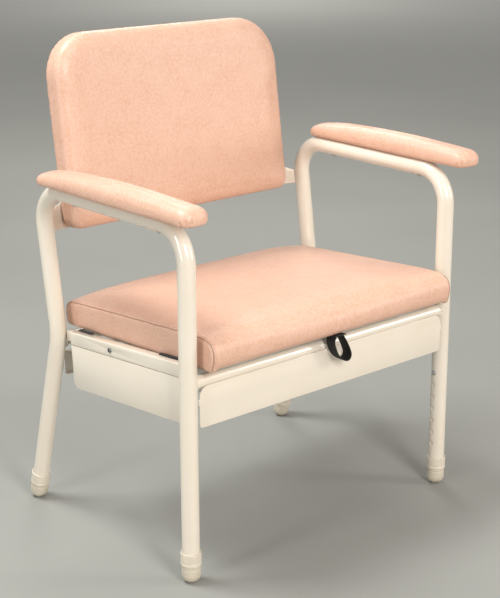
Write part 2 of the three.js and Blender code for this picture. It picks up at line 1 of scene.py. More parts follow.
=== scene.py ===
import math

import bmesh
import bpy
import numpy as np
from mathutils import Matrix, Vector, kdtree
from mathutils.bvhtree import BVHTree


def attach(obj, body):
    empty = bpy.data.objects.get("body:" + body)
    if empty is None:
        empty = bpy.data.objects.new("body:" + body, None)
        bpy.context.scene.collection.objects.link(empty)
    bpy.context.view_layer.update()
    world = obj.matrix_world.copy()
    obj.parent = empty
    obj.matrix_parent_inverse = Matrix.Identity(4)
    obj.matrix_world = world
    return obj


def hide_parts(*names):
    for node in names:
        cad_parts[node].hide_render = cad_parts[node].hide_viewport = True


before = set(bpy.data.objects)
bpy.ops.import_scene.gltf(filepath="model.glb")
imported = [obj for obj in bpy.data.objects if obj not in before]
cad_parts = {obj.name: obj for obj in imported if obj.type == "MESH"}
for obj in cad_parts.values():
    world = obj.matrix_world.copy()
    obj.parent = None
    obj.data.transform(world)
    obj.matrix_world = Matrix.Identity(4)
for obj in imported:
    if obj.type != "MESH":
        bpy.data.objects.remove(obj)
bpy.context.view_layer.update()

# A padded commode chair, +Z up, +Y towards the back. The scene is in metres. Sizes are given
# in millimetres with Y from the front legs, and MM or one of the matrices below scales them.
MM = 0.001

# ---- driving dimensions (mm)
FRONT_LEG_Y = -218.97
FRONT_HALF = 316
REAR_HALF = 323
REAR_FOOT = 477.5
KINK_BACK = 380.5
KINK_Z = 360
RECLINE = 0.142
TUBE_R = 16
TUBE_WALL = 1.6
TUBE_END = 36
ARM_Z = 639.5
ARM_BEND_R = 62
KINK_BEND_R = 120
INNER_TUBE_R = 14.1
INNER_TUBE_WALL = 1.5
INNER_TUBE = (14, 292)
BUTTON_HEIGHT = 239
HOLE_PITCH = 25
HOLE_COUNT = 7
HOLE_R = 4.5
INNER_HOLE_R = 4.3
DRILL_FROM = 7
DRILL_LENGTH = 13
TIP_R = 17
TIP_TOP = 33.4
TIP_CENTRE = 15.5
SCUFF_TOP = 10
SOCKET_FLOOR = 13.7
COLLAR_R = 18.5
COLLAR_TOP = 58
PIECE_GAP = 0.3
CROSS_RAIL_R = 12.5
# a cross rail's y and z, the x of the legs' axes there, and the x of its end before coping
FRONT_RAIL = (2.4, 368, FRONT_HALF, 303)
REAR_RAIL = (382.8, 350, 321.6, 308)
WELD_LAP = 0.4
RAIL_TOP_Z = 402
RAIL_SLOPE = 0.0745
RAIL_HEIGHT = 25
RAIL_SCREW_Y = 222
SEAT_Z = 396.5
SEAT_SLOPE = 0.05
SEAT_HALF = 294
SEAT_LIP = 4.5
BACK_BOTTOM_Z = 547
BACK_HALF = 268.5
BACK_HEIGHT = 361
BACK_RIGHT_CORNER_R = 98
BACK_LEFT_CORNER_R = 80
BACK_TOP_FOLD_R = 86
BACK_BOTTOM_CORNER_R = 22
BACK_TOP_FALL = 0.009
BACK_SCREW_X = 150
BACK_SCREW_HEIGHTS = (("lower", 32), ("upper", 200))
BACK_PANEL_DEPTH = 31.6
ARM_PAD_X = (-43.5, 15.5)
ARM_PAD_Y = (-50.5, 380.5)
ARM_PAD_CORNER_R = 22
ARM_PAD_FRONT_FALL = 0.15
ARM_PAD_REAR_FALL = 0.42
PAD_BOTTOM = 656
ARM_SCREWS = (70, 310)
STRAP_Y = -29
STRAP_WIDTH = 23
STRAP_PATCH_WIDTH = 28
STRAP_THICKNESS = 2.0
RIB_SPACING = 2.771
STITCH_PITCH = 4.5
STITCH_LENGTH = 3.1
STITCH_STEP = 0.5
THREAD_R = 0.33
THREAD_SIDES = 6

# how finely shapes are drawn: sides of a round, longest steps along a tube (mm), fillet steps
ROUND_SIDES = 48
DRILL_SIDES = 24
LINE_STEP = 12
BEND_STEP = 5
FILLET_STEPS = 4
INFLATE_FRAMES = 20

BORE_R = INNER_TUBE_R + PIECE_GAP
TOE_OUT = math.atan((REAR_HALF - FRONT_HALF) / REAR_FOOT)
REAR_SPLAY = math.atan((REAR_FOOT - KINK_BACK) / KINK_Z)
SIDES = ("left", "right")
LEGS = (("front", 0.0, 0.0), ("rear", REAR_SPLAY, REAR_FOOT))

# ---- placing
CHAIR = Matrix.Scale(MM, 4) @ Matrix.Translation((0, FRONT_LEG_Y, 0))
MIRROR = Matrix.Diagonal((-1, 1, 1, 1))


def side_matrix(side):
    """The side frame's own axes: X inwards, Y backwards along the frame, Z up."""
    left = CHAIR @ Matrix.Translation((-FRONT_HALF, 0, 0)) @ Matrix.Rotation(TOE_OUT, 4, "Z")
    return left if side == "left" else MIRROR @ left


def leg_matrix(side, tilt, foot):
    """Z runs up the leg from the floor, X towards the other side frame."""
    return side_matrix(side) @ Matrix.Translation((0, foot, 0)) @ Matrix.Rotation(tilt, 4, "X")


def rail_matrix(side):
    """The side rail's axes: Y along the rail, its top at Z = 0."""
    slope = Matrix.Rotation(-math.atan(RAIL_SLOPE), 4, "X")
    return side_matrix(side) @ Matrix.Translation((0, 0, RAIL_TOP_Z)) @ slope


def back_matrix():
    """The backrest's axes: X across, Y up along the uprights, Z out of the front face."""
    base = KINK_BACK + RECLINE * (BACK_BOTTOM_Z - KINK_Z)
    tilt = Matrix.Rotation(math.pi / 2 - math.atan(RECLINE), 4, "X")
    return CHAIR @ Matrix.Translation((0, base, BACK_BOTTOM_Z)) @ tilt


# ---- meshes
def shade(obj, angle=35):
    """Smooth shading, with the edges that bend by more than angle degrees kept sharp."""
    mesh = obj.data
    mesh.polygons.foreach_set("use_smooth", [True] * len(mesh.polygons))
    mesh.set_sharp_from_angle(angle=math.radians(angle))
    return obj


def linked(name, data):
    """A new object, put in the scene."""
    obj = bpy.data.objects.new(name, data)
    bpy.context.scene.collection.objects.link(obj)
    return obj


def from_bmesh(name, made, angle=35):
    mesh = bpy.data.meshes.new(name)
    made.to_mesh(mesh)
    made.free()
    return shade(linked(name, mesh), angle)


def new_object(name, verts, faces, angle=35):
    """A closed mesh with its faces turned outwards."""
    mesh = bpy.data.meshes.new(name)
    mesh.from_pydata([tuple(v) for v in verts], [], faces)
    made = bmesh.new()
    made.from_mesh(mesh)
    bmesh.ops.recalc_face_normals(made, faces=made.faces)
    made.to_mesh(mesh)
    made.free()
    return shade(linked(name, mesh), angle)


def place(obj, matrix):
    """Moves the mesh itself; after a mirroring its faces are turned outwards again."""
    obj.data.transform(matrix)
    if matrix.determinant() < 0:
        obj.data.flip_normals()
    return obj


def evaluated(obj, angle=35):
    """Applies the object's modifiers to its mesh."""
    bpy.context.view_layer.update()
    depsgraph = bpy.context.evaluated_depsgraph_get()
    mesh = bpy.data.meshes.new_from_object(obj.evaluated_get(depsgraph))
    obj.modifiers.clear()
    obj.data = mesh
    return shade(obj, angle)


def finish_piece(obj, body, slot, material, *nodes):
    """Gives a piece its material and its body, and hides the CAD nodes that it replaces."""
    obj.data.materials.clear()
    obj.data.materials.append(material)
    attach(obj, body)
    if nodes:
        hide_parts(*nodes)


def painted(obj, *nodes):
    """Finishes a piece of the welded frame."""
    finish_piece(obj, "frame", "frame_paint", PAINT, *nodes)


def frames_along(points, closed, side):
    """Each point with a sideways and an upward direction that turn as little as they can."""
    found = []
    last = len(points) - 1
    for i, point in enumerate(points):
        before = points[i - 1] if closed or i else points[0]
        after = points[(i + 1) % len(points)] if closed or i < last else points[last]
        tangent = (after - before).normalized()
        side = (side - tangent * side.dot(tangent)).normalized()
        found.append((point, side, tangent.cross(side)))
    return found


def band(low, high, width):
    """The faces between two rings of width points, which start at low and at high."""
    pairs = [(k, (k + 1) % width) for k in range(width)]
    return [(low + k, low + j, high + j, high + k) for k, j in pairs]


def swept(name, points, section, closed=False, side=(1, 0, 0), angle=35):
    """A section of (side, up) offsets carried along points. section may be a function of i."""
    points = [Vector(p) for p in points]
    verts = []
    for i, (point, across, up) in enumerate(frames_along(points, closed, Vector(side))):
        offsets = section(i) if callable(section) else section
        verts += [point + across * a + up * b for a, b in offsets]
    width = len(verts) // len(points)
    faces = []
    for i in range(len(points) if closed else len(points) - 1):
        faces += band(i * width, (i + 1) % len(points) * width, width)
    if not closed:
        faces.append(tuple(range(width)))
        faces.append(tuple(range(len(verts) - width, len(verts))))
    return new_object(name, verts, faces, angle)


def circle(radius, sides=ROUND_SIDES):
    steps = [2 * math.pi * k / sides for k in range(sides)]
    return [(radius * math.cos(a), radius * math.sin(a)) for a in steps]


def hollow_tube(name, points, outer, inner, side=(1, 0, 0)):
    """A tube with an open bore along points."""
    points = [Vector(p) for p in points]
    verts = []
    for point, across, up in frames_along(points, False, Vector(side)):
        for radius in (outer, inner):
            verts += [point + across * a + up * b for a, b in circle(radius)]
    sides = ROUND_SIDES
    ring = 2 * sides
    last = (len(points) - 1) * ring
    faces = []
    for k in range(sides):
        j = (k + 1) % sides
        for low in range(0, last, ring):
            high = low + ring
            faces.append((low + k, low + j, high + j, high + k))
            faces.append((low + sides + k, high + sides + k, high + sides + j, low + sides + j))
        faces.append((k, sides + k, sides + j, j))
        faces.append((last + k, last + j, last + sides + j, last + sides + k))
    return new_object(name, verts, faces)


def turned(name, profile, sides=ROUND_SIDES, closed=False):
    """A solid of revolution about Z from (radius, height) points; a closed profile is a ring's."""
    verts, rings = [], []
    for radius, height in profile:
        count = 1 if radius < 1e-6 else sides
        rings.append(range(len(verts), len(verts) + count))
        if count == 1:
            verts.append((0, 0, height))
        else:
            verts += [(a, b, height) for a, b in circle(radius, sides)]
    pairs = list(zip(rings, rings[1:] + rings[:1])) if closed else list(zip(rings, rings[1:]))
    faces = []
    for low, high in pairs:
        for k in range(sides):
            j = (k + 1) % sides
            loop = [low[k % len(low)], low[j % len(low)], high[j % len(high)], high[k % len(high)]]
            faces.append(tuple(dict.fromkeys(loop)))
    return new_object(name, verts, faces)


def filleted(points, radius, closed=False):
    """A line of 2-D points with its corners rounded; radius is cut down on short edges."""
    points = [Vector(p) for p in points]
    made = []
    for i, point in enumerate(points):
        if not closed and i in (0, len(points) - 1):
            made.append(point)
            continue
        back = points[i - 1] - point
        ahead = points[(i + 1) % len(points)] - point
        bend = math.pi - back.angle(ahead)
        if bend < 0.05:
            made.append(point)
            continue
        reach = min(radius * math.tan(bend / 2), 0.45 * back.length, 0.45 * ahead.length)
        start, end = point + back.normalized() * reach, point + ahead.normalized() * reach
        for k in range(FILLET_STEPS + 1):
            t = k / FILLET_STEPS
            made.append(start * (1 - t) ** 2 + point * 2 * t * (1 - t) + end * t * t)
    return [tuple(p) for p in made]


def smooth_curve(points, count, closed=False):
    """count points evenly spaced along a smooth curve through the given points."""
    points = np.array(points, float)
    n = len(points)
    spans = n if closed else n - 1
    line = []
    for i in range(spans):
        if closed:
            a, b, c, d = (points[(i + k) % n] for k in (-1, 0, 1, 2))
        else:
            b, c = points[i], points[i + 1]
            a = points[i - 1] if i else 2 * b - c
            d = points[i + 2] if i + 2 < n else 2 * c - b
        for t in np.linspace(0, 1, 12, endpoint=False):
            line.append(0.5 * (2 * b + (c - a) * t + (2 * a - 5 * b + 4 * c - d) * t**2
                               + (3 * b - a - 3 * c + d) * t**3))
    line.append(points[0] if closed else points[-1])
    line = np.array(line)
    along = np.r_[0, np.cumsum(np.linalg.norm(np.diff(line, axis=0), axis=1))]
    wanted = np.linspace(0, along[-1], count, endpoint=not closed)
    return np.stack([np.interp(wanted, along, line[:, k]) for k in range(line.shape[1])], 1)


def cut(obj, cutter):
    """Cuts the cutter out of the object, and removes the cutter."""
    boolean = obj.modifiers.new("cut", "BOOLEAN")
    boolean.operation = "DIFFERENCE"
    boolean.solver = "EXACT"
    boolean.object = cutter
    evaluated(obj)
    bpy.data.objects.remove(cutter)
    return obj


def joined(name, objects):
    """One object from several."""
    made = bmesh.new()
    for obj in objects:
        made.from_mesh(obj.data)
    for obj in objects:
        bpy.data.objects.remove(obj)
    return from_bmesh(name, made)


def eased(name, node, edge, segments=2, sharp=40):
    """A CAD node's shape with its sharp edges (degrees) rounded to a small radius (mm)."""
    made = bmesh.new()
    made.from_mesh(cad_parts[node].data)
    bmesh.ops.remove_doubles(made, verts=made.verts, dist=2e-5)
    bmesh.ops.dissolve_limit(
        made, angle_limit=math.radians(1), verts=made.verts, edges=made.edges
    )
    hard = [
        e for e in made.edges
        if len(e.link_faces) == 2 and e.calc_face_angle() > math.radians(sharp)
    ]
    bmesh.ops.bevel(
        made, geom=hard, offset=edge * MM, segments=segments, profile=0.5,
        affect="EDGES", clamp_overlap=True,
    )
    return from_bmesh(name, made, 30)


# ---- materials
def set_inputs(node, values):
    """Sets a node's inputs, and links those whose value is another node's output."""
    for name, value in values.items():
        socket = node.inputs[name]
        if isinstance(value, bpy.types.NodeSocket):
            node.id_data.links.new(value, socket)
        elif socket.type == "RGBA":
            socket.default_value = (*value, 1)
        else:
            socket.default_value = value


def node_material(name, roughness, metallic=0.0, specular=0.5, coat=0.0, coat_roughness=0.2):
    """A new material with its node tree and its shader."""
    material = bpy.data.materials.new(name)
    material.use_nodes = True
    shader = material.node_tree.nodes["Principled BSDF"]
    set_inputs(shader, {
        "Roughness": roughness, "Metallic": metallic, "Specular IOR Level": specular,
        "Coat Weight": coat, "Coat Roughness": coat_roughness,
    })
    return material, material.node_tree, shader


def coordinates(tree, stretch=(1, 1, 1)):
    """The object's own coordinates in metres, scaled by stretch."""
    source = tree.nodes.new("ShaderNodeTexCoord")
    mapping = tree.nodes.new("ShaderNodeMapping")
    set_inputs(mapping, {"Vector": source.outputs["Object"], "Scale": stretch})
    return mapping.outputs["Vector"]


def noise(tree, where, size, detail=3.0, roughness=0.55):
    """Noise whose blobs are about size millimetres across."""
    node = tree.nodes.new("ShaderNodeTexNoise")
    scale = 1 / (size * MM)
    set_inputs(node, {"Vector": where, "Scale": scale, "Detail": detail, "Roughness": roughness})
    return node.outputs["Fac"]


def cells(tree, where, size):
    """The distance to the nearest edge of cells about size millimetres across."""
    node = tree.nodes.new("ShaderNodeTexVoronoi")
    node.feature = "DISTANCE_TO_EDGE"
    set_inputs(node, {"Vector": where, "Scale": 1 / (size * MM)})
    return node.outputs["Distance"]


def ramp(tree, value, stops):
    """A colour ramp; stops are (position, grey) or (position, (r, g, b))."""
    node = tree.nodes.new("ShaderNodeValToRGB")
    spots = node.color_ramp.elements
    while len(spots) < len(stops):
        spots.new(0.5)
    for spot, (position, colour) in zip(spots, stops):
        spot.position = position
        rgb = (colour,) * 3 if isinstance(colour, (int, float)) else colour
        spot.color = (*rgb, 1)
    set_inputs(node, {"Fac": value})
    return node.outputs["Color"]


def mixed(tree, share, first, second, blend="MIX"):
    """Mixes two colours or sockets; share is a number or a socket."""
    node = tree.nodes.new("ShaderNodeMix")
    node.data_type = "RGBA"
    node.blend_type = blend
    set_inputs(node, {"Factor": share, 6: first, 7: second})
    return node.outputs[2]


def bumped(tree, shader, layers):
    """Stacks bump layers of (height socket, strength, depth in mm) on the shader's normal."""
    normal = None
    for height, strength, depth in layers:
        node = tree.nodes.new("ShaderNodeBump")
        set_inputs(node, {"Height": height, "Strength": strength, "Distance": depth * MM})
        if normal:
            set_inputs(node, {"Normal": normal})
        normal = node.outputs["Normal"]
    set_inputs(shader, {"Normal": normal})


def vary_roughness(tree, shader, value, low, high):
    """Roughness between low and high, following value."""
    set_inputs(shader, {"Roughness": ramp(tree, value, [(0.3, low), (0.7, high)])})


def vinyl_material(name="vinyl", painted_shade_factor=1.0):
    """Salmon leatherette: broad drift, fine mottle and flecks, and pits; a seam's copy is darker,
    painted shade.
    """
    material, tree, shader = node_material(name, 0.45, specular=0.45, coat=0.12,
                                           coat_roughness=0.32)
    where = coordinates(tree)
    broad = ramp(tree, noise(tree, where, 34, 4.0, 0.6),
                 [(0.3, (0.605, 0.335, 0.225)), (0.72, (0.675, 0.41, 0.30))])
    mottle = ramp(tree, noise(tree, where, 5.0, 5.0, 0.7), [(0.36, 0.0), (0.66, 1.0)])
    colour = mixed(tree, mottle, broad, (0.71, 0.47, 0.36))
    flecks = ramp(tree, noise(tree, where, 1.3, 2.0), [(0.56, 0.0), (0.74, 0.55)])
    colour = mixed(tree, flecks, colour, (0.565, 0.31, 0.21))
    pits = ramp(tree, cells(tree, where, 1.5), [(0.0, 0.35), (0.09, 0.0)])
    colour = mixed(tree, pits, colour, (0.55, 0.28, 0.18))
    # a factor below 1 darkens the whole colour: painted shade for the seams' copy
    colour = mixed(tree, 1.0, colour, (painted_shade_factor,) * 3, "MULTIPLY")
    set_inputs(shader, {"Base Color": colour})
    vary_roughness(tree, shader, noise(tree, where, 3.0), 0.38, 0.52)
    bumped(tree, shader, [
        (cells(tree, where, 1.5), 0.22, 0.12),
        (noise(tree, where, 0.7, 4.0), 0.15, 0.08),
    ])
    return material


def paint_material(name="cream_paint", tint=(0.745, 0.67, 0.57)):
    """Gloss powder coat: an even cream with a faint orange peel and a few dull specks."""
    material, tree, shader = node_material(name, 0.16, specular=0.5, coat=0.7, coat_roughness=0.05)
    where = coordinates(tree)
    deep = tuple(c * f for c, f in zip(tint, (0.98, 0.97, 0.95)))
    drift = ramp(tree, noise(tree, where, 90, 2.0), [(0.35, 0.0), (0.65, 1.0)])
    colour = mixed(tree, drift, deep, tint)
    specks = ramp(tree, noise(tree, where, 1.1, 2.0), [(0.74, 0.0), (0.84, 0.15)])
    colour = mixed(tree, specks, colour, tuple(c * 0.8 for c in tint))
    set_inputs(shader, {"Base Color": colour})
    vary_roughness(tree, shader, noise(tree, where, 9), 0.13, 0.19)
    bumped(tree, shader, [(noise(tree, where, 1.6, 2.0), 0.06, 0.03)])
    return material


def plastic_material(name, tint, roughness, grain, coat=0.0):
    """Moulded plastic or rubber with a fine grain and a little uneven colour."""
    material, tree, shader = node_material(name, roughness, coat=coat)
    where = coordinates(tree)
    drift = ramp(tree, noise(tree, where, 25, 4.0), [(0.35, 0.0), (0.65, 1.0)])
    colour = mixed(tree, drift, tuple(c * 0.88 for c in tint), tint)
    specks = ramp(tree, noise(tree, where, 0.9, 2.0), [(0.62, 0.0), (0.80, 0.4)])
    colour = mixed(tree, specks, colour, tuple(c * 0.72 for c in tint))
    set_inputs(shader, {"Base Color": colour})
    vary_roughness(tree, shader, noise(tree, where, 4), roughness * 0.85, roughness * 1.15)
    bumped(tree, shader, [(noise(tree, where, grain, 3.0), 0.25, 0.1)])
    return material


def risen(tree, value, start, end):
    """Rises from 0 to 1 as value goes from start to end."""
    node = tree.nodes.new("ShaderNodeMapRange")
    set_inputs(node, {"Value": value, "From Min": start, "From Max": end})
    return node.outputs["Result"]


def tip_material():
    """Cream rubber, scuffed grey towards the floor."""
    material = plastic_material("tip_rubber", (0.60, 0.53, 0.42), 0.55, 0.8)
    tree = material.node_tree
    shader = tree.nodes["Principled BSDF"]
    clean = shader.inputs["Base Color"].links[0].from_socket
    where = coordinates(tree)
    height = tree.nodes.new("ShaderNodeSeparateXYZ")
    set_inputs(height, {"Vector": where})
    low = risen(tree, height.outputs["Z"], SCUFF_TOP * MM, 0)
    patches = ramp(tree, noise(tree, where, 5, 4.0), [(0.38, 0.1), (0.62, 1.0)])
    share = mixed(tree, 1.0, low, patches, "MULTIPLY")
    set_inputs(shader, {"Base Color": mixed(tree, share, clean, (0.16, 0.14, 0.12))})
    return material


def steel_material(name, tint, roughness):
    """Bare steel with an uneven tone and a fine grain."""
    material, tree, shader = node_material(name, roughness, metallic=1.0)
    where = coordinates(tree)
    drift = ramp(tree, noise(tree, where, 3.0, 4.0), [(0.35, 0.0), (0.7, 1.0)])
    colour = mixed(tree, drift, tuple(c * 0.72 for c in tint), tint)
    set_inputs(shader, {"Base Color": colour})
    vary_roughness(tree, shader, noise(tree, where, 1.2, 4.0), roughness * 0.7, roughness * 1.4)
    bumped(tree, shader, [(noise(tree, coordinates(tree, (1, 1, 8)), 2.0, 3.0), 0.15, 0.05)])
    return material


def webbing_material():
    """Black woven webbing: diagonal ribs follow the length and width stored on the ribbon."""
    material, tree, shader = node_material("webbing", 0.7, specular=0.35)
    ribbon = tree.nodes.new("ShaderNodeAttribute")
    ribbon.attribute_name = "ribbon"
    waves = []
    for angle in (45, 135):
        turn = tree.nodes.new("ShaderNodeMapping")
        set_inputs(turn, {"Vector": ribbon.outputs["Vector"],
                          "Rotation": (0, 0, math.radians(angle))})
        wave = tree.nodes.new("ShaderNodeTexWave")
        # at scale 1 the texture runs through 20 radians a metre
        scale = 2 * math.pi / (20 * RIB_SPACING * MM)
        set_inputs(wave, {"Vector": turn.outputs["Vector"], "Scale": scale, "Distortion": 0.6})
        waves.append(wave.outputs["Fac"])
    weave = mixed(tree, 1.0, waves[0], waves[1], "MULTIPLY")
    fuzz = noise(tree, coordinates(tree), 0.8, 3.0)
    colour = mixed(tree, weave, (0.004, 0.004, 0.004), (0.03, 0.029, 0.028))
    colour = mixed(tree, ramp(tree, fuzz, [(0.5, 0.0), (0.8, 0.5)]), colour, (0.05, 0.048, 0.045))
    set_inputs(shader, {"Base Color": colour})
    vary_roughness(tree, shader, fuzz, 0.6, 0.85)
    bumped(tree, shader, [(weave, 0.7, 0.35), (fuzz, 0.3, 0.1)])
    return material


def floor_material():
    """A plain matt floor, paler far from the chair so that every view has a light backdrop."""
    material, tree, shader = node_material("studio_floor", 0.85, specular=0.15)
    where = coordinates(tree)
    tone = ramp(tree, noise(tree, where, 900, 2.0),
                [(0.3, (0.275, 0.273, 0.252)), (0.7, (0.30, 0.297, 0.275))])
    reach = tree.nodes.new("ShaderNodeVectorMath")
    reach.operation = "LENGTH"
    set_inputs(reach, {0: where})
    far = risen(tree, reach.outputs["Value"], *FLOOR_FADE)
    colour = mixed(tree, far, tone, (0.53, 0.53, 0.50))
    set_inputs(shader, {"Base Color": colour})
    return material


VINYL = vinyl_material()
# a darker copy of the vinyl: painted shade of the seat's seams, worn by their welts
SEAM_SHADE_VINYL = vinyl_material("seam_shade_vinyl", 0.62)
PAINT = paint_material()
LEG_PAINT = paint_material("leg_paint", (0.735, 0.655, 0.55))
STEEL = steel_material("zinc_steel", (0.62, 0.62, 0.63), 0.28)
SPRING = steel_material("spring_steel", (0.32, 0.32, 0.34), 0.35)
TIP = tip_material()
COLLAR = plastic_material("collar_plastic", (0.70, 0.62, 0.51), 0.38, 1.5, coat=0.1)
BLACK_RUBBER = plastic_material("black_rubber", (0.018, 0.018, 0.019), 0.6, 0.9)
SEAT_PLASTIC = plastic_material("seat_plastic", (0.58, 0.60, 0.59), 0.35, 1.8, coat=0.2)
PAN_PLASTIC = plastic_material("pan_plastic", (0.70, 0.70, 0.665), 0.3, 2.2, coat=0.25)
WEBBING = webbing_material()
THREAD = plastic_material("thread", (0.42, 0.20, 0.12), 0.6, 0.5)


# ---- frame tubes and legs
def rounded_line(corners):
    """A line of (y, z, bend radius) corners as closely spaced points in the YZ plane."""
    points = []
    for i, (y, z, radius) in enumerate(corners):
        corner = Vector((y, z))
        if not radius:
            points.append(corner)
            continue
        back = (Vector(corners[i - 1][:2]) - corner).normalized()
        ahead = (Vector(corners[i + 1][:2]) - corner).normalized()
        half = back.angle(ahead) / 2
        centre = corner + (back + ahead).normalized() * (radius / math.sin(half))
        start = corner + back * (radius / math.tan(half)) - centre
        end = corner + ahead * (radius / math.tan(half)) - centre
        turn = math.pi - 2 * half
        steps = max(6, int(turn * radius / BEND_STEP))
        for k in range(steps + 1):
            t = k / steps
            spoke = start * math.sin((1 - t) * turn) + end * math.sin(t * turn)
            points.append(centre + spoke / math.sin(turn))
    line = [points[0]]
    for point in points[1:]:
        pieces = max(1, math.ceil((point - line[-1]).length / LINE_STEP))
        start = line[-1]
        line += [start.lerp(point, k / pieces) for k in range(1, pieces + 1)]
    return [Vector((0, p.x, p.y)) for p in line]


def drill(matrix, height, radius):
    """A bar that cuts a snap button's hole through the inner side of a leg."""
    line = [(0, 0, 0), (DRILL_LENGTH, 0, 0)]
    bar = swept("drill", line, circle(radius, DRILL_SIDES), side=(0, 1, 0))
    return place(bar, matrix @ Matrix.Translation((DRILL_FROM, 0, height)))


def side_frame(side):
    """One bent tube: front leg, arm, rear upright and splayed rear leg, with the legs' holes."""
    rear_top = KINK_BACK + RECLINE * (ARM_Z - KINK_Z)
    end = (REAR_FOOT - TUBE_END * math.sin(REAR_SPLAY), TUBE_END * math.cos(REAR_SPLAY))
    line = rounded_line([
        (0, TUBE_END, 0),
        (0, ARM_Z, ARM_BEND_R),
        (rear_top, ARM_Z, ARM_BEND_R),
        (KINK_BACK, KINK_Z, KINK_BEND_R),
        (*end, 0),
    ])
    tube = hollow_tube(f"{side}_side_tube", line, TUBE_R, TUBE_R - TUBE_WALL)
    holes = []
    for _, tilt, foot in LEGS:
        local = Matrix.Translation((0, foot, 0)) @ Matrix.Rotation(tilt, 4, "X")
        for i in range(HOLE_COUNT):
            holes.append(drill(local, BUTTON_HEIGHT - i * HOLE_PITCH, HOLE_R))
    cut(tube, joined("holes", holes))
    place(tube, side_matrix(side))
    painted(tube, f"{side}_side_frame")


def leg_parts(side, row, tilt, foot):
    """Everything at one leg: its inner tube, rubber tip, collar and snap button."""
    matrix = leg_matrix(side, tilt, foot)
    inner_leg(side, row, matrix)
    foot_tip(side, row, matrix, tilt)
    foot_collar(side, row, matrix)
    snap_button(side, row, matrix)


def inner_leg(side, row, matrix):
    line = [(0, 0, z) for z in np.linspace(*INNER_TUBE, 30)]
    tube = hollow_tube(f"{side}_{row}_leg_tube", line, INNER_TUBE_R, INNER_TUBE_R - INNER_TUBE_WALL)
    cut(tube, drill(Matrix(), BUTTON_HEIGHT, INNER_HOLE_R))
    place(tube, matrix)
    finish_piece(tube, f"{side}_{row}_leg", "leg_paint", LEG_PAINT, f"{side}_{row}_inner_leg")


def foot_tip(side, row, matrix, tilt):
    """A rubber tip with a grooved wall and a domed sole, flat where it stands on the floor."""
    dome = TIP_CENTRE / math.cos(tilt)
    arc = [(TIP_R * math.sin(a), dome - TIP_R * math.cos(a)) for a in np.linspace(0, 1.5, 14)]
    rim = filleted([
        (TIP_R, dome), (TIP_R, 27.2), (TIP_R - 0.7, 27.9), (TIP_R - 0.7, 28.6), (TIP_R, 29.3),
        (TIP_R, TIP_TOP), (BORE_R, TIP_TOP), (BORE_R, SOCKET_FLOOR), (0, SOCKET_FLOOR),
    ], 0.9)
    tip = place(turned(f"{side}_{row}_foot_tip", arc + rim), matrix)
    for vertex in tip.data.vertices:
        vertex.co.z = max(vertex.co.z, 0.0)
    shade(tip)
    finish_piece(tip, f"{side}_{row}_leg", "tip_rubber", TIP, f"{side}_{row}_tip")


def foot_collar(side, row, matrix):
    """A ring that sleeves the frame tube's end and guides the inner leg."""
    low = TIP_TOP + PIECE_GAP
    sleeve = TUBE_R + PIECE_GAP
    collar = turned(f"{side}_{row}_foot_collar", filleted([
        (BORE_R, low), (COLLAR_R, low), (COLLAR_R, 38.6), (COLLAR_R - 0.6, 39.2),
        (COLLAR_R - 0.6, 40.2), (COLLAR_R, 40.8), (COLLAR_R, COLLAR_TOP), (sleeve, COLLAR_TOP),
        (sleeve, TUBE_END - PIECE_GAP), (BORE_R, TUBE_END - PIECE_GAP),
    ], 1.1, closed=True), closed=True)
    place(collar, matrix)
    finish_piece(collar, "frame", "collar_plastic", COLLAR, f"{side}_{row}_collar")


def snap_button(side, row, matrix):
    """The button and the leaf spring behind it."""
    button = turned(f"{side}_{row}_snap_button", filleted([
        (0, 10), (5.2, 10), (5.2, 11.2), (4, 11.2), (4, 17.4), (3.1, 18.7), (0, 19.1),
    ], 1.0))
    spot = Matrix.Translation((0, 0, BUTTON_HEIGHT)) @ Matrix.Rotation(math.pi / 2, 4, "Y")
    place(button, matrix @ spot)
    snap = f"{side}_{row}_snap"
    finish_piece(button, snap, "steel", STEEL, f"{side}_{row}_button")
    spring = eased(f"{side}_{row}_snap_spring", f"{side}_{row}_spring", 0.15)
    finish_piece(spring, snap, "spring_steel", SPRING, f"{side}_{row}_spring")


def coped_rail(name, node, y, z, leg_x, end):
    """A cross rail whose ends are cut to the round of the legs, leg_x out from the middle."""
    line = [Vector((x, y, z)) for x in np.linspace(-end, end, 61)]
    rail = hollow_tube(name, line, CROSS_RAIL_R, CROSS_RAIL_R - TUBE_WALL, (0, 1, 0))
    for vertex in rail.data.vertices:
        if abs(vertex.co.x) > end - 0.5:
            reach = leg_x - math.sqrt((TUBE_R - WELD_LAP) ** 2 - (vertex.co.y - y) ** 2)
            vertex.co.x = math.copysign(reach, vertex.co.x)
    place(rail, CHAIR)
    shade(rail)
    painted(rail, node)
    for side, sign in zip(SIDES, (-1, 1)):
        saddle = []
        for a in np.linspace(0, 2 * math.pi, 64, endpoint=False):
            dy = (CROSS_RAIL_R + WELD_LAP) * math.cos(a)
            dz = (CROSS_RAIL_R + WELD_LAP) * math.sin(a)
            reach = leg_x - math.sqrt((TUBE_R + WELD_LAP) ** 2 - dy**2)
            saddle.append((sign * reach, y + dy, z + dz))
        weld_bead(f"{side}_{name}_weld", saddle, CHAIR, closed=True)


def weld_bead(name, points, matrix, radius=1.9, closed=False):
    """A rippled weld bead along points, under the paint."""
    points = smooth_curve(points, len(points) * 4, closed)
    count = len(points)

    def section(i):
        fade = 1 if closed else min(1, 6 * i / count + 0.3, 6 * (count - 1 - i) / count + 0.3)
        return circle(radius * fade * (1 + 0.10 * math.sin(i * 1.25)), 12)

    bead = swept(name, points, section, closed, side=(0.3, 0.2, 1))
    place(bead, matrix)
    painted(bead)


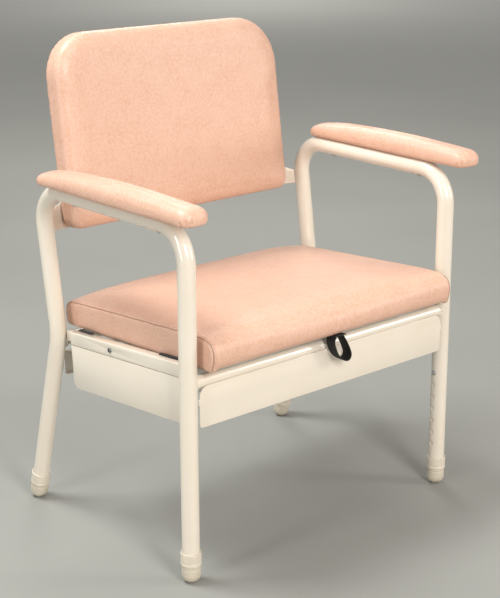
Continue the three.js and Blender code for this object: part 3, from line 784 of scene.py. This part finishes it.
# ---- sheet metal and plastic
def screw_piece(name, node, matrix, material=STEEL):
    """A dome-head screw with a hexagon socket, its head standing on Z = 0."""
    head = turned(name, filleted([
        (0, -7), (2.4, -7), (2.4, 0.2), (5, 0.2), (4.8, 1.2), (3.6, 2.4), (2.0, 2.85), (0, 2.9),
    ], 0.5), 32)
    socket = turned("socket", [(0, 1.1), (1.75, 1.1), (1.75, 5), (0, 5)], 6)
    cut(head, socket)
    place(head, matrix)
    finish_piece(head, "frame", "steel", material, node)


def side_fittings(side):
    """A side's folded sheets, rubber buffers, rail weld and screws."""
    for part in ("side_rail", "side_apron", "pan_rail", "rear_bracket"):
        piece = eased(f"{side}_{part}_folded", f"{side}_{part}", 1.0)
        painted(piece, f"{side}_{part}")
    for part in ("front_buffer", "rear_buffer"):
        piece = eased(f"{side}_{part}_rubber", f"{side}_{part}", 0.8)
        finish_piece(piece, "frame", "black_rubber", BLACK_RUBBER, f"{side}_{part}")
    face, top = -0.3, -1.0
    edge = [(face, 16.4, -RAIL_HEIGHT), (face, 16.4, -12), (face, 16.4, top),
            (3, 15.9, 0.3), (8, 14.2, 0.4), (13, 10.6, 0.4)]
    weld_bead(f"{side}_side_rail_weld", edge, rail_matrix(side), 1.7)
    spot = Matrix.Translation((-0.5, RAIL_SCREW_Y, -RAIL_HEIGHT / 2))
    screw_piece(f"{side}_rail_dome_screw", f"{side}_rail_screw",
                rail_matrix(side) @ spot @ Matrix.Rotation(-math.pi / 2, 4, "Y"), SPRING)
    face_down = Matrix.Rotation(math.pi, 4, "X")
    for i, y in enumerate(ARM_SCREWS, 1):
        spot = Matrix.Translation((0, y, ARM_Z - TUBE_R)) @ face_down
        screw_piece(f"{side}_arm_dome_screw_{i}", f"{side}_arm_screw_{i}",
                    side_matrix(side) @ spot)
    for level, height in BACK_SCREW_HEIGHTS:
        x = BACK_SCREW_X if side == "right" else -BACK_SCREW_X
        spot = Matrix.Translation((x, height, -BACK_PANEL_DEPTH)) @ face_down
        screw_piece(f"{side}_{level}_back_dome_screw", f"{side}_{level}_back_screw",
                    back_matrix() @ spot)


def middle_sheets():
    for part in ("front_apron", "back_panel"):
        piece = eased(f"{part}_folded", part, 0.7)
        painted(piece, part)


def seat_and_pan():
    seat = eased("toilet_seat_moulded", "toilet_seat", 2.6, segments=4)
    finish_piece(seat, "frame", "seat_plastic", SEAT_PLASTIC, "toilet_seat")
    pan = eased("pan_moulded", "pan", 1.0, segments=3, sharp=30)
    finish_piece(pan, "pan", "pan_plastic", PAN_PLASTIC, "pan")


# ---- upholstery
def remeshed(obj, voxel):
    """The same shape with an even mesh, its cells voxel millimetres across."""
    remesh = obj.modifiers.new("remesh", "REMESH")
    remesh.mode = "VOXEL"
    remesh.voxel_size = voxel * MM
    remesh.adaptivity = 0
    return evaluated(obj, 180)


def coordinates_of(mesh):
    co = np.empty(len(mesh.vertices) * 3)
    mesh.vertices.foreach_get("co", co)
    return co.reshape(-1, 3)


def write_coordinates(mesh, co):
    mesh.vertices.foreach_set("co", co.ravel())
    mesh.update()


def spread(mesh, field, rounds):
    """Averages a field over neighbouring points, so that it changes gently over the mesh."""
    ends = np.empty(len(mesh.edges) * 2, int)
    mesh.edges.foreach_get("vertices", ends)
    ends = ends.reshape(-1, 2)
    points = len(mesh.vertices)
    neighbours = np.bincount(ends.ravel(), minlength=points)[:, None]
    for _ in range(rounds):
        total = np.zeros_like(field)
        for near, far in ((0, 1), (1, 0)):
            for axis in range(field.shape[1]):
                total[:, axis] += np.bincount(ends[:, near], field[ends[:, far], axis], points)
        field = (field + total / neighbours) / 2
    return field


def inflate(obj, held, pressure, cap):
    """Blows the cover up as foam does. held and cap give each point's hold, from 0 to 1, and
    the most that it moves (mm)."""
    group = obj.vertex_groups.new(name="held")
    for index in np.flatnonzero(held > 0.01):
        group.add([int(index)], float(held[index]), "REPLACE")
    cloth = obj.modifiers.new("cover", "CLOTH")
    settings = cloth.settings
    settings.quality = 5
    settings.mass = 0.3
    settings.tension_stiffness = 18
    settings.compression_stiffness = 18
    settings.shear_stiffness = 8
    settings.bending_stiffness = 1.5
    settings.use_pressure = True
    settings.uniform_pressure_force = pressure
    settings.vertex_group_mass = "held"
    settings.effector_weights.gravity = 0
    cloth.point_cache.frame_start = 1
    cloth.point_cache.frame_end = INFLATE_FRAMES
    scene = bpy.context.scene
    before = coordinates_of(obj.data)
    for step in range(1, INFLATE_FRAMES + 1):
        scene.frame_set(step)
    shaped = obj.evaluated_get(bpy.context.evaluated_depsgraph_get())
    after = coordinates_of(shaped.data)
    obj.modifiers.remove(cloth)
    obj.vertex_groups.clear()
    scene.frame_set(1)
    move = spread(obj.data, after - before, 14) * (1 - held[:, None])
    length = np.maximum(np.linalg.norm(move, axis=1, keepdims=True), 1e-9)
    move *= cap * MM * np.tanh(length / (cap * MM)) / length
    write_coordinates(obj.data, before + spread(obj.data, move, 4))


def refined(obj):
    """One smooth subdivision."""
    subdivision = obj.modifiers.new("smooth", "SUBSURF")
    subdivision.levels = subdivision.render_levels = 1
    return evaluated(obj, 180)


def distances(points, lines):
    """The distance from each point to the nearest of some closely spaced lines."""
    spots = np.concatenate([np.array(line) for line in lines])
    tree = kdtree.KDTree(len(spots))
    for i, spot in enumerate(spots):
        tree.insert(spot, i)
    tree.balance()
    return np.array([tree.find(point)[2] for point in points])


def pressed(obj, lines, depth, width):
    """Pulls the cover in along lines, as a seam or a pleat does."""
    mesh = obj.data
    co = coordinates_of(mesh)
    normal = np.empty(len(mesh.vertices) * 3)
    mesh.vertices.foreach_get("normal", normal)
    near = distances(co, lines)
    pull = depth * MM * np.exp(-((near / (width * MM)) ** 2))
    write_coordinates(mesh, co - normal.reshape(-1, 3) * pull[:, None])


def dense(line, spacing=1.5):
    """A smooth curve through the points of a line, in metres, with a point every spacing mm."""
    line = np.array(line, float)
    length = np.linalg.norm(np.diff(line, axis=0), axis=1).sum()
    return smooth_curve(line, max(4, int(length / (spacing * MM))))


def on_surface(obj, line, lift):
    """The line laid lift mm above the object's surface: points and outward normals."""
    tree = BVHTree.FromObject(obj, bpy.context.evaluated_depsgraph_get())
    found = [tree.find_nearest(Vector(p)) for p in line]
    return [(spot + normal * lift * MM, normal) for spot, normal, _, _ in found]


def stitches(name, surface, line, body):
    """Thread stitches along a line on the surface."""
    line = dense(line, STITCH_STEP)
    steps = round(STITCH_PITCH / STITCH_STEP)
    half = round(STITCH_LENGTH / 2 / STITCH_STEP)
    verts, faces = [], []
    laid = on_surface(surface, line, THREAD_R * 0.45)
    for middle in range(half, len(laid) - half, steps):
        run = laid[middle - half:middle + half + 1]
        start = len(verts)
        for i, (spot, normal) in enumerate(run):
            t = 2 * i / (len(run) - 1) - 1
            size = THREAD_R * MM * math.sqrt(max(0.05, 1 - t**6))
            ahead = (run[-1][0] - run[0][0]).normalized()
            across = normal.cross(ahead).normalized()
            sink = normal * THREAD_R * MM * 0.9 * t**4
            for a, b in circle(size, THREAD_SIDES):
                verts.append(spot - sink + across * a + normal * b)
        for low in range(start, len(verts) - THREAD_SIDES, THREAD_SIDES):
            faces += band(low, low + THREAD_SIDES, THREAD_SIDES)
        faces.append(tuple(range(start, start + THREAD_SIDES)))
        faces.append(tuple(range(len(verts) - THREAD_SIDES, len(verts))))
    obj = new_object(name, verts, faces, 60)
    finish_piece(obj, body, "vinyl", THREAD)


def outline(x0, x1, y0, y1, radii, steps=8):
    """A counter-clockwise rounded rectangle; radii run from the low-Y high-X corner."""
    corners = zip([(x1, y0, -1, 1), (x1, y1, -1, -1), (x0, y1, 1, -1), (x0, y0, 1, 1)],
                  radii, (-90, 0, 90, 180))
    points = []
    for (x, y, inward_x, inward_y), radius, start in corners:
        for angle in np.radians(start + np.linspace(0, 90, steps + 1)):
            points.append((x + radius * (inward_x + math.cos(angle)),
                           y + radius * (inward_y + math.sin(angle))))
    return points


def lofted(name, rings):
    """A closed skin through rings with the same number of points."""
    width = len(rings[0])
    verts = [point for ring in rings for point in ring]
    faces = [tuple(range(width)), tuple(range(len(verts) - width, len(verts)))]
    for low in range(0, len(verts) - width, width):
        faces += band(low, low + width, width)
    return new_object(name, verts, faces)


def padded_cover(obj, matrix, voxel, held_of, cap_of, pressure):
    """Places a pad's shape, gives it an even mesh, and blows it up against what holds it.
    held_of and cap_of take the pad's own coordinates (mm) and give a weight and a limit (mm)."""
    place(obj, matrix)
    remeshed(obj, voxel)
    own = coordinates_of(obj.data) - np.array(matrix.translation)
    own = own @ np.linalg.inv(np.array(matrix.to_3x3())).T
    inflate(obj, held_of(own), pressure, cap_of(own)[:, None])
    return refined(obj)


def upholstered(obj, body, fill, *nodes):
    """Finishes a pad; fill, which runs from 0, slack, to 1, full and tight, is not used."""
    finish_piece(obj, body, "vinyl", VINYL, *nodes)
    shade(obj, 180)


def in_place(matrix, line):
    """The points of a line carried by a matrix."""
    return [tuple(matrix @ Vector(p)) for p in line]


# The cushion's axes: heights are from its underside, which falls towards the back.
SEAT = CHAIR @ Matrix(((1, 0, 0, 0), (0, 1, 0, 0), (0, -SEAT_SLOPE, 1, SEAT_Z), (0, 0, 0, 1)))


def seat_profile(x):
    """The cover's line in Y and height at x: up the front, over the top, down the back."""
    share = abs(x) / SEAT_HALF
    crown = 11 * (1 - share**6)
    bulge = 2.5 * (1 - share**4)
    return [
        (-35, -1.5), (-39.5 - bulge, 8), (-41.5 - bulge, 24), (-39 - bulge, 38 + 0.1 * crown),
        (-29, 48 + 0.35 * crown), (-8, 53.5 + 0.65 * crown), (40, 54.5 + 0.9 * crown),
        (130, 52 + 1.1 * crown), (250, 49 + 1.3 * crown), (332, 46.5 + 1.5 * crown),
        (375, 44 + 1.2 * crown), (392, 39.5 + 0.5 * crown), (398, 28), (398, 12), (394, 0),
    ]


def seat_cushion():
    """The cushion with its two welted side seams, and stitches along their edges."""
    rings = []
    for x in SEAT_HALF * np.sin(np.linspace(-math.pi / 2, math.pi / 2, 41)):
        over = smooth_curve(seat_profile(x), 90)
        under = np.linspace(over[-1], over[0], 40)[1:-1]
        under[:, 1] = np.interp(under[:, 0], [-35, -12], [-1.5, 0])
        lip = -SEAT_LIP * min(1, max(0, (abs(x) - SEAT_HALF + 15) / 8))
        ring = np.concatenate([over, under])
        rings.append([(x, y, h + lip * max(0, 1 - h / 12)) for y, h in ring])
    cushion = lofted("seat_cushion", rings)
    seams = [
        dense(in_place(SEAT, [(x, y, h) for y, h in smooth_curve(seat_profile(x), 120)]))
        for x in (-SEAT_HALF, SEAT_HALF)
    ]

    def held(own):
        seam = distances(own @ np.array(SEAT.to_3x3()).T + np.array(SEAT.translation), seams)
        return np.maximum(np.clip(1.6 - seam / (5 * MM), 0, 1), np.clip(1.5 - own[:, 2] / 4, 0, 1))

    def cap(own):
        side = np.clip((np.abs(own[:, 0]) - SEAT_HALF + 12) / 10, 0, 1)
        return 4.5 * (1 - side) + 2 * side

    padded_cover(cushion, SEAT, 5, held, cap, 4.0)
    pressed(cushion, seams, 2.0, 2.8)
    upholstered(cushion, "cushion", 0.8, "seat_pad", "seat_board")
    for side, sign, seam in zip(SIDES, (-1, 1), seams):
        laid = [spot for spot, _ in on_surface(cushion, seam[::2], 0.3)]
        welt = swept(f"{side}_seat_welt", laid, circle(1.1 * MM, 10), side=(0, 0, 1))
        # the welt gets the darker vinyl, painted shade of the seam
        finish_piece(welt, "cushion", "vinyl", SEAM_SHADE_VINYL)
        x = sign * (SEAT_HALF - 5.5)
        line = in_place(SEAT, [(x, y, h) for y, h in seat_profile(x)[:6]])
        stitches(f"{side}_seat_corner_stitches", cushion, line, "cushion")
        top = in_place(SEAT, [(x, y, h) for y, h in seat_profile(x)[5:12]])
        stitches(f"{side}_seat_edge_stitches", cushion, top, "cushion")


def backrest():
    """The back pad: folds round its bottom corners, puckers round its top ones."""
    matrix = back_matrix()
    rings = []
    for inset, depth in [(10, -29), (3, -26.5), (0, -20), (0, 6), (1, 11), (3.5, 15.5), (8, 19),
                         (16, 21.5), (40, 23), (100, 24)]:
        half = BACK_HALF - inset
        right_top = max(BACK_RIGHT_CORNER_R - 0.75 * inset, 30)
        left_top = max(BACK_LEFT_CORNER_R - 0.75 * inset, 30)
        bottom = max(BACK_BOTTOM_CORNER_R - 0.5 * inset, 10)
        ring = outline(-half, half, inset, BACK_HEIGHT - inset,
                       (bottom, right_top, left_top, bottom))
        rings.append([(x, y * (1 - BACK_TOP_FALL * x / BACK_HALF), depth) for x, y in ring])
    pad = lofted("backrest_cushion", rings)
    padded_cover(
        pad, matrix, 5,
        lambda own: np.clip(1.0 - (own[:, 2] + 27) / 3, 0, 1),
        lambda own: 1.2 + 2.6 * np.clip((own[:, 2] - 8) / 14, 0, 1),
        4.0,
    )
    low, top = BACK_BOTTOM_CORNER_R, BACK_TOP_FOLD_R
    folds, puckers = [], []
    for sign in (-1, 1):
        for angle, reach in ((-82, 26), (-64, 34), (-45, 30), (-24, 22)):
            a = math.radians(angle)
            x = sign * (BACK_HALF - low + low * math.cos(a))
            y = low + low * math.sin(a)
            folds.append(dense(in_place(matrix, [(x, y, -29), (x, y, -29 + reach)])))
        for angle in (30, 46, 62):
            a = math.radians(angle)
            x = sign * (BACK_HALF - top + top * math.cos(a))
            y = BACK_HEIGHT - top + top * math.sin(a)
            puckers.append(dense(in_place(matrix, [(x, y, -28), (x, y, -12)])))
    pressed(pad, folds, 2.0, 2.2)
    pressed(pad, puckers, 0.8, 2.6)
    upholstered(pad, "frame", 0.85, "backrest_pad", "backrest_board")


def arm_pad_height(y, height):
    """The height of a ring of the arm pad at y; the pad gets thinner towards its two ends."""
    y0, y1 = ARM_PAD_Y
    middle = (y0 + y1) / 2
    fall = ARM_PAD_REAR_FALL if y > middle else ARM_PAD_FRONT_FALL
    return PAD_BOTTOM + height * (1 - fall * abs((y - middle) / (y1 - middle)) ** 3)


def arm_pad(side):
    """The pad on an arm, with pleats where its cover is drawn round the corners."""
    matrix = side_matrix(side)
    (x0, x1), (y0, y1) = ARM_PAD_X, ARM_PAD_Y
    rings = []
    for inset, height, radius in [(5, 0, 16), (1.2, 2, 18), (0, 7, 19), (0, 17, 19), (1.4, 23, 18),
                                  (4.6, 28.5, 17), (10, 32.5, 14), (18, 35, 9), (25, 36, 4)]:
        radii = (min(radius, 29.4 - inset),) * 4
        ring = outline(x0 + inset, x1 - inset, y0 + inset, y1 - inset, radii)
        full = []
        for (x, y), (next_x, next_y) in zip(ring, ring[1:] + ring[:1]):
            for t in np.linspace(0, 1, 12, endpoint=False):
                full.append((x + (next_x - x) * t, y + (next_y - y) * t))
        rings.append([(x, y, arm_pad_height(y, height)) for x, y in full])
    pad = lofted(f"{side}_arm_cushion", rings)
    padded_cover(
        pad, matrix, 4,
        lambda own: np.clip(1.0 - (own[:, 2] - PAD_BOTTOM - 2) / 3, 0, 1),
        lambda own: 1.0 + 1.8 * np.clip((own[:, 2] - PAD_BOTTOM) / 14, 0, 1),
        4.0,
    )
    pleats = []
    for y, direction in ((y0, 1), (y1, -1)):
        for x, toward in ((x0, 1), (x1, -1)):
            for angle, reach in ((20, 9.5), (48, 13), (76, 9.5)):
                a = math.radians(angle)
                spot_x = x + toward * ARM_PAD_CORNER_R * (1 - math.cos(a))
                spot_y = y + direction * ARM_PAD_CORNER_R * (1 - math.sin(a))
                pleat = [(spot_x, spot_y, PAD_BOTTOM - 1), (spot_x, spot_y, PAD_BOTTOM + reach)]
                pleats.append(dense(in_place(matrix, pleat)))
    pressed(pad, pleats, 2.3, 1.9)
    upholstered(pad, "frame", 0.8, f"{side}_arm_pad", f"{side}_arm_board")


def ribbon(name, points, width, side):
    """A flat strap along points, its width along side, with its length stored for the weave."""
    path = smooth_curve(points, 90)
    half = STRAP_THICKNESS / 2
    rim = outline(-width / 2, width / 2, -half, half, (0.45 * STRAP_THICKNESS,) * 4, 3)
    strap = swept(name, path, rim, side=side, angle=50)
    step = np.linalg.norm(path[1] - path[0]) * MM
    stored = strap.data.attributes.new("ribbon", "FLOAT_VECTOR", "POINT")
    for i, item in enumerate(stored.data):
        item.vector = (i // len(rim) * step, rim[i % len(rim)][0] * MM, 0)
    return place(strap, CHAIR)


def pull_strap():
    """A webbing loop sewn under the front edge of the cushion; it hangs over the apron."""
    loop = [(-8, 394.5), (-11.5, 385), (-8, 371), (0, 357), (11, 347), (21, 342.8), (28, 345.5),
            (30.5, 353.5), (26, 366), (18, 381), (9, 394.5)]
    line = [(x, STRAP_Y, z) for x, z in loop]
    strap = ribbon("pull_strap_loop", line, STRAP_WIDTH, (0, 1, 0))
    finish_piece(strap, "cushion", "webbing", WEBBING, "pull_strap")
    tongue = [(0, -42.5, 396.6), (0, -36, 395.6), (0, -24, 395.4), (0, -11, 394.9)]
    patch = ribbon("pull_strap_tongue", tongue, STRAP_PATCH_WIDTH, (1, 0, 0))
    finish_piece(patch, "cushion", "webbing", WEBBING)


# ---- studio (metres, radians)
FLOOR_RADIUS = 30
FLOOR_SIDES = 96
FLOOR_FADE = (2.5, 9.0)
NEUTRAL = (1, 0.99, 0.96)
COOL = (0.97, 1, 1)
WARM = (1, 0.965, 0.92)
WORLD_STRENGTH = 0.42
# name, place, target, size, power in watts, tint
LIGHTS = (
    ("key", (-1.1, 0.9, 3.3), (0, 0, 0.5), (1.2, 1.2), 96, COOL),
    ("front_fill", (-0.9, -3.4, 2.1), (0, 0, 0.5), (0.9, 1.8), 104, WARM),
    ("right_fill", (2.6, -2.8, 1.6), (0, 0, 0.4), (0.8, 1.8), 46, WARM),
    ("left_strip", (-3.4, -0.4, 1.3), (0, 0, 0.5), (0.6, 2.2), 40, COOL),
    ("backdrop_pool", (5.6, 6.5, 2.0), (5.6, 6.5, 0), (0.8, 0.8), 20, NEUTRAL),
    ("near_pool", (1.3, 1.9, 2.4), (1.3, 1.9, 0), (1.0, 1.0), 30, NEUTRAL),
)
CAMERA_PLACE = (-1.7739, -2.0679, 1.2716)
CAMERA_TURN = 0.712121
CAMERA_TILT = 0.308787
CAMERA_ROLL = 0.003018
CAMERA_LENS = 89.75
CAMERA_SENSOR = 36


def studio():
    """The floor, which no pose moves, and an even light from all round."""
    mesh = bpy.data.meshes.new("studio_floor")
    rim = [(x, y, 0) for x, y in circle(FLOOR_RADIUS, FLOOR_SIDES)]
    mesh.from_pydata(rim, [], [tuple(range(FLOOR_SIDES))])
    floor = linked("studio_floor", mesh)
    floor.data.materials.append(floor_material())

    world = bpy.data.worlds.new("studio")
    world.use_nodes = True
    background = world.node_tree.nodes["Background"]
    set_inputs(background, {"Color": NEUTRAL, "Strength": WORLD_STRENGTH})
    bpy.context.scene.world = world


def area_light(name, where, target, size, power, tint):
    data = bpy.data.lights.new(name, "AREA")
    data.shape = "RECTANGLE"
    data.size, data.size_y = size
    data.energy = power
    data.color = tint
    light = linked(name, data)
    light.location = where
    light.rotation_euler = (Vector(target) - Vector(where)).to_track_quat("-Z", "Y").to_euler()


def camera():
    """Stands in front of the chair and to its left, and looks down at it."""
    data = bpy.data.cameras.new("camera")
    data.sensor_width = CAMERA_SENSOR
    data.lens = CAMERA_LENS
    data.clip_end = 200
    forward = Vector((math.sin(CAMERA_TURN) * math.cos(CAMERA_TILT),
                      math.cos(CAMERA_TURN) * math.cos(CAMERA_TILT), -math.sin(CAMERA_TILT)))
    right = Vector((math.cos(CAMERA_TURN), -math.sin(CAMERA_TURN), 0))
    up = right.cross(forward)
    right, up = (right * math.cos(CAMERA_ROLL) - up * math.sin(CAMERA_ROLL),
                 right * math.sin(CAMERA_ROLL) + up * math.cos(CAMERA_ROLL))
    view = linked("camera", data)
    turn = Matrix((right, up, -forward)).transposed().to_4x4()
    view.matrix_world = Matrix.Translation(CAMERA_PLACE) @ turn
    bpy.context.scene.camera = view


camera()
studio()
for light in LIGHTS:
    area_light(*light)
bpy.context.scene.view_settings.view_transform = "Standard"

for side in SIDES:
    side_frame(side)
    for row, tilt, foot in LEGS:
        leg_parts(side, row, tilt, foot)
    arm_pad(side)
coped_rail("front_cross_rail", "front_rail", *FRONT_RAIL)
coped_rail("rear_cross_rail", "rear_rail", *REAR_RAIL)
for side in SIDES:
    side_fittings(side)
middle_sheets()
seat_and_pan()
seat_cushion()
backrest()
pull_strap()
